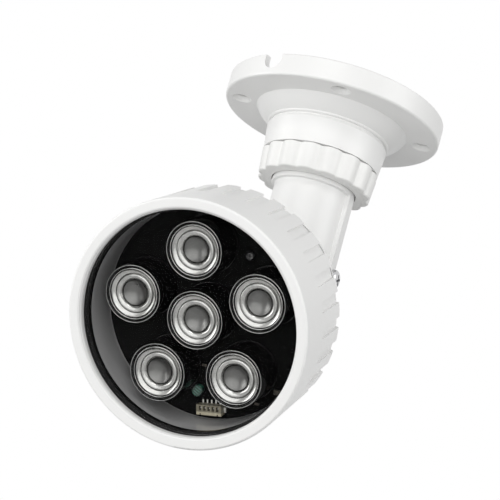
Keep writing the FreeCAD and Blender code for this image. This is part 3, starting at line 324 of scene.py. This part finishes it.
# Ring nut. Moulded in white, with sixteen soft lobes for the fingers and a thread inside.
# Its grain is finer than the paint's, so it looks a little more even than the castings.

NUT_BORE_R = 20.35 * MM
dress(["ring_nut"], moulded("nut_white", (0.83, 0.83, 0.815), gloss=0.4, grain=1600.0, bump=0.12,
                            thread=(object_place, NUT_PITCH, NUT_BORE_R)))


# Arm. Cast in one with its collar, rib and fork, and powder coated like the base.
# The fork's inner faces carry the same coat, since the friction discs ride on it.

dress(["bracket_arm"], painted("arm_paint", CASTING_GRAIN, CASTING_PEEL))


# Hinge. A chromed cross-recessed screw, with a zinc-plated spring washer under its head and a
# zinc-plated nut let into the far cheek. Pressed fibre discs between the cheeks and the tongue
# grip the tilt.

def plated_group():
    """Plated metal: fine scratches both ways and a slight haze."""
    group, entry, leave = new_group("plated_surface", {"Color": "Color", "Gloss": "Float"}, FINISH)
    place = object_place(group)
    lengthways, across = (
        noise(group, put(group, "Mapping", {"Vector": place, "Scale": stretch}).outputs[0], 1.0, 2.0)
        for stretch in ((300.0, 4000.0, 4000.0), (4000.0, 300.0, 3000.0)))
    marks = work_out(group, "ADD", lengthways, across)
    swing = spread(group, noise(group, place, 220.0, 3.0), 0.88, 1.08)
    haze = spread(group, marks, 0.7, 1.4, 0.7, 1.3)
    return finished(group, leave, Color=shaded(group, entry["Color"], swing),
                    Roughness=work_out(group, "MULTIPLY", entry["Gloss"], haze), Height=marks)


PLATED = plated_group()


def plated(name, color, gloss, scratch):
    """A plated piece, with the strength of its scratches."""
    material, tree, shader = new_material(name, Metallic=1.0)
    skin = use(tree, PLATED, Color=(*color, 1.0), Gloss=gloss)
    apply_finish(tree, shader, skin["Color"], skin["Roughness"], [(skin["Height"], scratch, 0.01 * MM)])
    return material


ZINC = plated("zinc_plate", (0.62, 0.62, 0.64), gloss=0.26, scratch=0.3)
dress(["hinge_screw"], plated("screw_chrome", (0.55, 0.55, 0.56), gloss=0.1, scratch=0.15))
dress(["hinge_washer", "hinge_nut"], ZINC)
dress(["friction_discs"],
      moulded("disc_fibre", (0.05, 0.048, 0.045), gloss=0.75, grain=1400.0, bump=0.6))


# Rear cover, its rubber seal, its four zinc-plated screws and the rubber bush for the lead.
# The cover is cast with its hinge tongue and coated like the arm; the rubber is matt and dusty.

def rubber_group():
    """Moulded rubber: matt, with specks and a bloom of dust."""
    group, entry, leave = new_group("rubber_surface", {"Color": "Color"}, FINISH)
    place = object_place(group)
    specks = noise(group, place, 1800.0, 4.0)
    bloom = spread(group, noise(group, place, 120.0, 5.0, Roughness=0.6), 0.8, 1.5, 0.3, 0.8)
    return finished(group, leave, Color=shaded(group, entry["Color"], bloom),
                    Roughness=spread(group, specks, 0.55, 0.75), Height=specks)


RUBBER = rubber_group()


def rubber(name, color, bump, **plain):
    """A rubber piece, with the strength of its specks."""
    material, tree, shader = new_material(name, **plain)
    skin = use(tree, RUBBER, Color=(*color, 1.0))
    apply_finish(tree, shader, skin["Color"], skin["Roughness"], [(skin["Height"], bump, 0.05 * MM)])
    return material


dress(["rear_cover"], painted("cover_paint", CASTING_GRAIN, CASTING_PEEL))
dress(["rear_cover_seal", "cable_grommet"], rubber("seal_rubber", (0.02, 0.02, 0.02), bump=0.3))
dress(["rear_cover_screws", "driver_screws"], ZINC)


# Main housing. Cast and painted white outside, with a thread for the cap at its front. The bore is
# the satin grey sleeve round the board, with the fine rings of its turning. Its mouth, under the
# gasket, is painted black as shade, and its foot, where it meets the board, is painted bright as a
# highlight.

LAMP_TURN_DEG = 122.12
CAP_PITCH, HOUSING_THREAD_R = 3.0 * MM, 41.05 * MM


def lamp_place(tree):
    """Coordinates from the middle of the lamp's front: Z is the lamp's axis, negative behind the front."""
    turn = (math.radians(LAMP_TURN_DEG), 0.0, 0.0)
    return put(tree, "Mapping", {"Vector": object_place(tree), "Location": LAMP_FRONT, "Rotation": turn},
               vector_type="TEXTURE").outputs[0]


def blend(tree, mask, first, second):
    """One colour where the mask is 0 and another where it is 1."""
    return put(tree, "Mix", {0: mask, 6: first, 7: second}, data_type="RGBA").outputs[2]


def turned_group():
    """Turned metal: fine rings round the axis, which vary the gloss, and soft clouds of shade."""
    group, entry, leave = new_group("turned_surface", {"Vector": "Vector", "Gloss": "Float"},
                                    {"Shade": "Float", "Roughness": "Float", "Height": "Float"})
    spot = use(group, ROUND_PLACE, Vector=entry["Vector"])
    reach = work_out(group, "ADD", spot["Radius"], spot["Along"])
    rings = put(group, "TexNoise", {"W": reach, "Scale": 6000.0, "Detail": 3.0},
                noise_dimensions="1D").outputs["Fac"]
    haze = spread(group, rings, 0.85, 1.15, 0.3, 0.7)
    return finished(group, leave, Shade=spread(group, noise(group, entry["Vector"], 70.0, 3.0), 0.88, 1.12),
                    Roughness=work_out(group, "MULTIPLY", entry["Gloss"], haze), Height=rings)


TURNED = turned_group()


def housing_finish(bore_r, bore_depth, shade_depth, highlight_depth):
    """Paint outside; inside the bore turned metal, painted black as shade to one depth and painted bright
    as a highlight from another.
    """
    material, tree, shader = new_material("housing_paint")
    place = lamp_place(tree)
    spot = use(tree, ROUND_PLACE, Vector=place)
    within = work_out(tree, "LESS_THAN", spot["Radius"], bore_r)
    before = work_out(tree, "GREATER_THAN", spot["Along"], -bore_depth)
    bare = work_out(tree, "MULTIPLY", within, before)
    # The bore is painted black as shade at its mouth and painted bright as a highlight at its foot.
    mouth = work_out(tree, "GREATER_THAN", spot["Along"], -shade_depth)
    foot = work_out(tree, "LESS_THAN", spot["Along"], -highlight_depth)
    coat = use(tree, PAINT, Grain=CASTING_GRAIN, Unevenness=PAINT_UNEVENNESS, Color=(*WHITE, 1.0))
    rings = use(tree, TURNED, Vector=place, Gloss=0.17)
    black, grey, bright = (shaded(tree, (tone, tone, tone), rings["Shade"]) for tone in (0.006, 0.42, 0.7))
    inside = blend(tree, foot, blend(tree, mouth, grey, black), bright)
    gloss = put(tree, "Mix", {0: bare, 2: coat["Roughness"], 3: rings["Roughness"]}).outputs[0]
    cut = use(tree, THREAD, Vector=place, Pitch=CAP_PITCH, Radius=HOUSING_THREAD_R)
    bumps = [(cut["Height"], 1.0, 1.8 * MM), (rings["Height"], 0.05, 0.02 * MM),
             (coat["Height"], 0.1, 0.1 * MM)]
    apply_finish(tree, shader, blend(tree, bare, coat["Color"], inside), gloss, bumps)
    return material


dress(["main_housing"], housing_finish(bore_r=40.95 * MM, bore_depth=25.0 * MM, shade_depth=8.2 * MM,
                                       highlight_depth=23.3 * MM))


# Heat spreader. A milled aluminium disc, pressed into the bore behind the board, so its rings show
# round its edge only.

def turned(name, color, gloss, bump):
    """A turned piece, with the strength of its rings."""
    material, tree, shader = new_material(name, Metallic=1.0)
    rings = use(tree, TURNED, Vector=lamp_place(tree), Gloss=gloss)
    apply_finish(tree, shader, shaded(tree, color, rings["Shade"]), rings["Roughness"],
                 [(rings["Height"], bump, 0.02 * MM)])
    return material


dress(["heat_spreader"], turned("spreader_aluminium", (0.7, 0.7, 0.71), gloss=0.35, bump=0.3))


# Driver, sealed behind the spreader: a green circuit board on turned brass standoffs, with a wound
# coil, two capacitors in blue sleeves and two moulded chips.

def board_group():
    """A circuit board under solder mask: raised tracks, and dots where the copper goes through."""
    group, entry, leave = new_group(
        "board_surface", {"Vector": "Vector", "Mask Color": "Color", "Track Color": "Color"}, FINISH)
    place = entry["Vector"]
    cells = put(group, "TexVoronoi", {"Vector": place, "Scale": 260.0, "Randomness": 0.55},
                feature="DISTANCE_TO_EDGE", voronoi_dimensions="2D").outputs["Distance"]
    dots = put(group, "TexVoronoi", {"Vector": place, "Scale": 330.0, "Randomness": 0.8},
               distance="EUCLIDEAN", voronoi_dimensions="2D").outputs["Distance"]
    track = spread(group, cells, 1.0, 0.0, 0.05, 0.08)
    copper = work_out(group, "MAXIMUM", track, work_out(group, "LESS_THAN", dots, 0.1))
    weave = noise(group, place, 900.0, 3.0)
    return finished(group, leave, Color=blend(group, copper, entry["Mask Color"], entry["Track Color"]),
                    Roughness=spread(group, weave, 0.22, 0.36),
                    Height=work_out(group, "MULTIPLY_ADD", weave, 0.15, copper))


BOARD = board_group()


def circuit_board(name, mask, track, bump, **plain):
    """A circuit board, with the colours of its mask and tracks and the strength of its relief."""
    material, tree, shader = new_material(name, **plain)
    skin = use(tree, BOARD, Vector=lamp_place(tree), Mask_Color=(*mask, 1.0), Track_Color=(*track, 1.0))
    apply_finish(tree, shader, skin["Color"], skin["Roughness"], [(skin["Height"], bump, 0.03 * MM)])
    return material


def lamp_spot(tree, x, y, turn_deg=0.0):
    """Lamp coordinates moved to a spot of the front plane and turned there."""
    return put(tree, "Mapping", {"Vector": lamp_place(tree), "Location": (x * MM, y * MM, 0.0),
                                 "Rotation": (0.0, 0.0, math.radians(turn_deg))},
               vector_type="TEXTURE").outputs[0]


def waves(tree, value, length):
    """A sine wave of a given length along a value."""
    return work_out(tree, "SINE", work_out(tree, "MULTIPLY", value, 2 * math.pi / length))


def coil_finish(x, y, wound_r, wire):
    """Enamelled wire, wound turn on turn between two dark cheeks; the copper is painted darker between the
    turns as shade.
    """
    material, tree, shader = new_material("coil_wire", Coat_Weight=0.6, Coat_Roughness=0.15)
    spot = use(tree, ROUND_PLACE, Vector=lamp_spot(tree, x, y))
    turns = waves(tree, spot["Along"], wire)
    wound = work_out(tree, "LESS_THAN", spot["Radius"], wound_r)
    # The copper is painted darker between the turns, as shade.
    copper = shaded(tree, (0.45, 0.16, 0.06), spread(tree, turns, 0.4, 1.1, -1.0, 1.0))
    cheek = use(tree, MOULDED, Color=(0.05, 0.05, 0.052, 1.0), Grain=1500.0, Gloss=0.45)
    bumps = [(work_out(tree, "MULTIPLY", turns, wound), 0.8, 0.1 * MM), (cheek["Height"], 0.2, 0.05 * MM)]
    apply_finish(tree, shader, blend(tree, wound, cheek["Color"], copper), cheek["Roughness"], bumps)
    return material


def capacitor_finish(top_at):
    """A blue shrunk sleeve; past it the bare aluminium end."""
    material, tree, shader = new_material("capacitor_sleeve")
    place = lamp_place(tree)
    bare = work_out(tree, "LESS_THAN", use(tree, ROUND_PLACE, Vector=place)["Along"], -top_at)
    sleeve = use(tree, MOULDED, Color=(0.03, 0.04, 0.16, 1.0), Grain=700.0, Gloss=0.25)
    metal = shaded(tree, (0.6, 0.6, 0.6), use(tree, TURNED, Vector=place)["Shade"])
    apply_finish(tree, shader, blend(tree, bare, sleeve["Color"], metal), sleeve["Roughness"],
                 [(sleeve["Height"], 0.2, 0.05 * MM)])
    tree.links.new(bare, shader.inputs["Metallic"])
    return material


dress(["driver_board"], circuit_board("driver_mask", (0.01, 0.09, 0.035), (0.02, 0.16, 0.06), bump=0.5))
dress(["driver_standoffs"], turned("standoff_brass", (0.72, 0.52, 0.22), gloss=0.22, bump=0.2))
dress(["driver_coil"], coil_finish(x=-8.0, y=-4.0, wound_r=5.6 * MM, wire=0.35 * MM))
dress(["driver_capacitors"], capacitor_finish(top_at=51.3 * MM))
dress(["driver_chips"], moulded("chip_resin", (0.025, 0.025, 0.027), gloss=0.45, grain=1800.0, bump=0.3))


# Board. Black solder mask over faint tracks, screwed to the spreader by two blackened screws
# that stand between the light units.

BOARD_BLACK, TRACK_BLACK = (0.007, 0.007, 0.007), (0.01, 0.01, 0.01)
dress(["led_board"], circuit_board("board_mask", BOARD_BLACK, TRACK_BLACK, bump=0.02,
                                   Specular_IOR_Level=0.0))
dress(["board_screws"], plated("screw_black", (0.09, 0.09, 0.09), gloss=0.3, scratch=0.2))


# Small parts on the board: two chips and a box-shaped part, the light sensor with its winding track,
# and the lead's header, moulded in tan with tinned contacts and tabs.

def sensor_finish(x, y, turn_deg, track_step, track_reach):
    """A dark green sensor, whose track runs to and fro across its face in paler lines."""
    material, tree, shader = new_material("sensor_resin", Coat_Weight=0.5, Coat_Roughness=0.1)
    place = lamp_spot(tree, x, y, turn_deg)
    split = put(tree, "SeparateXYZ", {0: place}).outputs
    lines = spread(tree, waves(tree, split[1], track_step), 0.0, 1.0, 0.1, 0.5)
    track = work_out(tree, "MULTIPLY", lines, work_out(tree, "COMPARE", split[0], 0.0, track_reach))
    cloud = noise(tree, place, 900.0, 2.0)
    tone = spread(tree, cloud, 0.6, 1.4)
    ground, line = (shaded(tree, color, tone) for color in ((0.008, 0.045, 0.03), (0.05, 0.2, 0.135)))
    apply_finish(tree, shader, blend(tree, track, ground, line), spread(tree, cloud, 0.2, 0.4),
                 [(track, 0.5, 0.05 * MM)])
    return material


def header_finish(x, y, turn_deg, shelf, painted_light_gain):
    """Tan moulding; the wall on the board's edge side is thin, and painted paler as light falling on it."""
    material, tree, shader = new_material("header_moulding")
    split = put(tree, "SeparateXYZ", {0: lamp_spot(tree, x, y, turn_deg)}).outputs
    lit_side = work_out(tree, "LESS_THAN", split[1], shelf)
    skin = use(tree, MOULDED, Color=(0.22, 0.2, 0.145, 1.0), Grain=1500.0, Gloss=0.42)
    # The wall toward the board's edge is painted paler, as light falling on it.
    lit_tone = shaded(tree, skin["Color"], painted_light_gain)
    apply_finish(tree, shader, blend(tree, lit_side, skin["Color"], lit_tone), skin["Roughness"],
                 [(skin["Height"], 0.3, 0.05 * MM)])
    return material


def chip_finish():
    """Fired ceramic, mottled from nearly black to brown."""
    material, tree, shader = new_material("chip_ceramic")
    cloud = noise(tree, lamp_place(tree), 1100.0, 2.0)
    color = shaded(tree, (0.07, 0.06, 0.045), spread(tree, cloud, 0.3, 1.3, 0.35, 0.65))
    apply_finish(tree, shader, color, spread(tree, cloud, 0.3, 0.6), [(cloud, 0.3, 0.05 * MM)])
    return material


BOARD_EDGE = 39.3


def on_board(step_in, angle_deg):
    """A place on the board, in millimetres, from its step in from the edge and its angle."""
    angle = math.radians(angle_deg)
    return (BOARD_EDGE - step_in) * math.cos(angle), (BOARD_EDGE - step_in) * math.sin(angle)


dress(["photocell"], sensor_finish(*on_board(step_in=9.81, angle_deg=-94.47), turn_deg=-30.0,
                                   track_step=0.95 * MM, track_reach=1.15 * MM))
dress(["header_body"], header_finish(*on_board(step_in=3.7, angle_deg=-84.9), turn_deg=5.1,
                                     shelf=-0.75 * MM, painted_light_gain=2.2))
dress(["header_pins"], plated("tin_plate", (0.8, 0.79, 0.75), gloss=0.45, scratch=0.2))
dress(["board_parts"], chip_finish())


# Light units. Each is an emitter under a lens that is silvered by its own reflections, held in a
# polished black tube with two ridges round its mouth. Tube and lens are spun from their outlines.

# In millimetres: how far the rims lie behind the front, and the radii and depths at which the
# painted highlights on the crests, the black lip and the dark core end.
RIM_DEPTH = 8.8
RIM_R, RIM_CREST = 10.0, 0.03
CORE_R, LIP_R, LIP_EDGE_R, LIP_CREST = 4.6, 8.6, 8.95, 0.36


def spun_piece(name, outline, steps):
    """A turned piece: its outline is drawn point by point and spun round the axis."""
    bpy.ops.object.select_all(action="DESELECT")
    bpy.ops.mesh.primitive_plane_add(size=MM)
    piece = bpy.context.object
    piece.name = name
    piece.data.name = name
    bpy.ops.object.mode_set(mode="EDIT")
    bpy.ops.mesh.select_all(action="SELECT")
    bpy.ops.mesh.merge(type="CENTER")
    corners = [Vector((r * MM, 0.0, -depth * MM)) for r, depth in outline]
    bpy.ops.transform.translate(value=corners[0])
    for here, there in zip(corners, corners[1:]):
        bpy.ops.mesh.extrude_region_move(TRANSFORM_OT_translate={"value": there - here})
    bpy.ops.mesh.select_all(action="SELECT")
    bpy.ops.mesh.spin(steps=steps, angle=2 * math.pi, center=(0.0, 0.0, 0.0), axis=(0.0, 0.0, 1.0))
    bpy.ops.mesh.select_all(action="SELECT")
    bpy.ops.mesh.remove_doubles(threshold=0.000002)
    bpy.ops.mesh.normals_make_consistent(inside=False)
    bpy.ops.object.mode_set(mode="OBJECT")
    bpy.ops.object.shade_smooth_by_angle(angle=math.radians(35.0))
    return piece


def share_out(piece, materials, choose):
    """Gives a spun piece its materials, and each face the one chosen by its radius and its depth
    behind the rim, in millimetres."""
    for material in materials:
        piece.data.materials.append(material)
    for face in piece.data.polygons:
        reach = math.hypot(face.center.x, face.center.y) / MM
        face.material_index = choose(reach, -face.center.z / MM - RIM_DEPTH)


def set_on_lamp(piece, x, y):
    """From the lamp's own frame, where the axis is Z and the front is 0, to its place."""
    turn = Matrix.Rotation(math.radians(LAMP_TURN_DEG), 4, "X")
    piece.matrix_world = Matrix.Translation(LAMP_FRONT) @ turn @ Matrix.Translation((x * MM, y * MM, 0.0))
    bpy.ops.object.select_all(action="DESELECT")
    piece.select_set(True)
    bpy.context.view_layer.objects.active = piece
    bpy.ops.object.transform_apply(location=True, rotation=True, scale=True)
    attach(piece, "lamp")


def curve(centre_r, centre_depth, radius, first, last, count):
    """Outline points on an arc. An angle of 0 is its deepest point, 90 its outermost, 180 its highest."""
    points = []
    for step in range(count + 1):
        angle = math.radians(first + (last - first) * step / count)
        points.append((centre_r + radius * math.sin(angle), centre_depth + radius * math.cos(angle)))
    return points


def down(points, depth):
    """An outline moved back by a depth."""
    return [(r, at + depth) for r, at in points]


def tube_outline():
    """The tube's section, in millimetres: each point is a radius and a depth behind the rim."""
    rim = curve(10.30, 0.27, 0.27, 90, 180, 5) + curve(10.30, 0.27, 0.27, 180, 250, 4)[1:]
    ridge = [(10.0, 0.42)] + curve(9.78, 0.38, 0.2, 120, 240, 6) + [(9.52, 0.6)]
    bore = [(9.42, 0.75), (9.42, 2.2), (9.3, 2.2), (9.3, 14.92)]
    foot = [(10.77, 14.92), (10.77, 14.42), (10.57, 14.42)]
    return bore[::-1] + ridge[::-1] + rim[::-1] + foot[::-1] + [bore[-1]]


def lens_outline():
    """The lens's section: a lip, a bowl, a ring round the middle, a shallow dish and a flat back."""
    lip = [(9.3, 2.0), (9.3, 0.55)] + curve(9.08, 0.5, 0.2, 100, 215, 6)
    bowl = curve(6.62, -1.31, 3.02, 50, 12, 9)
    ring = curve(6.4, 1.7, 0.7, 120, 180, 5) + curve(6.4, 2.7, 1.7, 180, 245, 8)[1:]
    dish = curve(0.0, -3.55, 7.3, 38, 0, 12)
    back = [(0.0, 5.0), (9.0, 5.0), (9.3, 2.0)]
    return lip + bowl + [(7.14, 1.9)] + ring + [(4.62, 2.6)] + dish + back


def emitter_finish(dome_at, darker):
    """A white package with a clear dome over its dark chip."""
    material, tree, shader = new_material("emitter_package", Coat_Weight=0.4, Coat_Roughness=0.1)
    spot = use(tree, ROUND_PLACE, Vector=lamp_place(tree))
    dome = work_out(tree, "GREATER_THAN", spot["Along"], -dome_at)
    skin = use(tree, MOULDED, Color=(0.6, 0.58, 0.52, 1.0), Grain=1200.0, Gloss=0.35)
    dark = shaded(tree, skin["Color"], darker)
    apply_finish(tree, shader, blend(tree, dome, skin["Color"], dark), skin["Roughness"],
                 [(skin["Height"], 0.2, 0.03 * MM)])
    return material


def silvered(name, color, dull):
    """The mirror look of a clear lens, whose moulded faces wave a little."""
    material, tree, shader = new_material(name, Metallic=1.0)
    place = object_place(tree)
    swell = noise(tree, place, 260.0, 1.0)
    tone = spread(tree, noise(tree, place, 420.0, 2.0), 0.82, 1.18)
    apply_finish(tree, shader, shaded(tree, color, tone), spread(tree, swell, dull, dull + 0.16),
                 [(swell, 0.3, 0.3 * MM)])
    return material


EMITTER = emitter_finish(dome_at=22.6 * MM, darker=0.3)
TUBE_BLACK = moulded("tube_black", (0.006, 0.006, 0.006), gloss=0.12, grain=1500.0, bump=0.02,
                     Specular_IOR_Level=0.3)
# Bright plated metal on the crests of the tube's rim and the lens's lip: a painted highlight on the black
# plastic.
CREST_HIGHLIGHT = plated("crest_painted_highlight", (0.4, 0.4, 0.39), gloss=0.08, scratch=0.02)
LENS_SILVER = silvered("lens_silver", (0.36, 0.36, 0.348), dull=0.14)
LENS_CORE = silvered("lens_core", (0.13, 0.13, 0.126), dull=0.24)


def tube_part(reach, depth):
    """The crest of the rim, with its painted highlight, or the black tube."""
    return 1 if reach > RIM_R and depth < RIM_CREST else 0


def lens_part(reach, depth):
    """The darker core, the crest of the black lip with its painted highlight, the lip itself, or the silver
    bowl.
    """
    if reach < CORE_R:
        return 1
    if reach > LIP_EDGE_R and depth < LIP_CREST:
        return 3
    return 2 if reach > LIP_R else 0


UNIT_RING_R, FIRST_UNIT_DEG, RING_UNITS = 24.77, 94.93, 5
unit_places = [(0.0, 0.0)]
for step in range(RING_UNITS):
    angle = math.radians(FIRST_UNIT_DEG + 360 / RING_UNITS * step)
    unit_places.append((UNIT_RING_R * math.cos(angle), UNIT_RING_R * math.sin(angle)))
for number, (x, y) in enumerate(unit_places, start=1):
    dress(["led_%d" % number], EMITTER)
    tube = spun_piece("light_tube_%d" % number, down(tube_outline(), RIM_DEPTH), steps=96)
    share_out(tube, (TUBE_BLACK, CREST_HIGHLIGHT), tube_part)
    set_on_lamp(tube, x, y)
    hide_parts("holder_%d" % number)
    lens = spun_piece("light_lens_%d" % number, down(lens_outline(), RIM_DEPTH), steps=96)
    share_out(lens, (LENS_SILVER, LENS_CORE, TUBE_BLACK, CREST_HIGHLIGHT), lens_part)
    set_on_lamp(lens, x, y)
    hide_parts("lens_%d" % number)


# Window. A clear disc of glass in a black rubber ring, nipped between the cap's lip and the housing.
# The glass is coated, so it mirrors at low angles only.

def coated_glass(name, mirror):
    """Clear glass with a faint smear. Plain light and mirrored rays pass it without bending."""
    material, tree, shader = new_material(name, IOR=1.5, Transmission_Weight=1.0,
                                          Base_Color=(1.0, 1.0, 1.0, 1.0),
                                          Specular_Tint=(mirror, mirror, mirror, 1.0))
    smear = noise(tree, object_place(tree), 35.0, 3.0)
    tree.links.new(spread(tree, smear, 0.0, 0.02, 0.45, 1.0), shader.inputs["Roughness"])
    rays = put(tree, "LightPath").outputs
    mirrored = work_out(tree, "SUBTRACT", rays["Is Glossy Ray"], rays["Is Transmission Ray"])
    plain = work_out(tree, "MAXIMUM", rays["Is Shadow Ray"], rays["Is Diffuse Ray"])
    unbent = work_out(tree, "MAXIMUM", plain, mirrored)
    through = put(tree, "BsdfTransparent").outputs[0]
    mix = put(tree, "MixShader", {0: unbent, 1: shader.outputs[0], 2: through}).outputs[0]
    tree.links.new(mix, tree.nodes["Material Output"].inputs["Surface"])
    return material


dress(["front_glass"], coated_glass("window_glass", mirror=0.0))
dress(["glass_gasket"], rubber("gasket_rubber", (0.018, 0.018, 0.018), bump=0.25, Specular_IOR_Level=0.1))


# Front cap. Cast, turned inside for its thread and painted a smoother white than the castings.
# It screws onto the housing, and thirty grip slots run along its side.

CAP_GRAIN, CAP_PEEL, CAP_THREAD_R = 700.0, 0.08, 41.2 * MM
dress(["front_cap"], painted("cap_paint", CAP_GRAIN, CAP_PEEL,
                             thread=(lamp_place, CAP_PITCH, CAP_THREAD_R)))
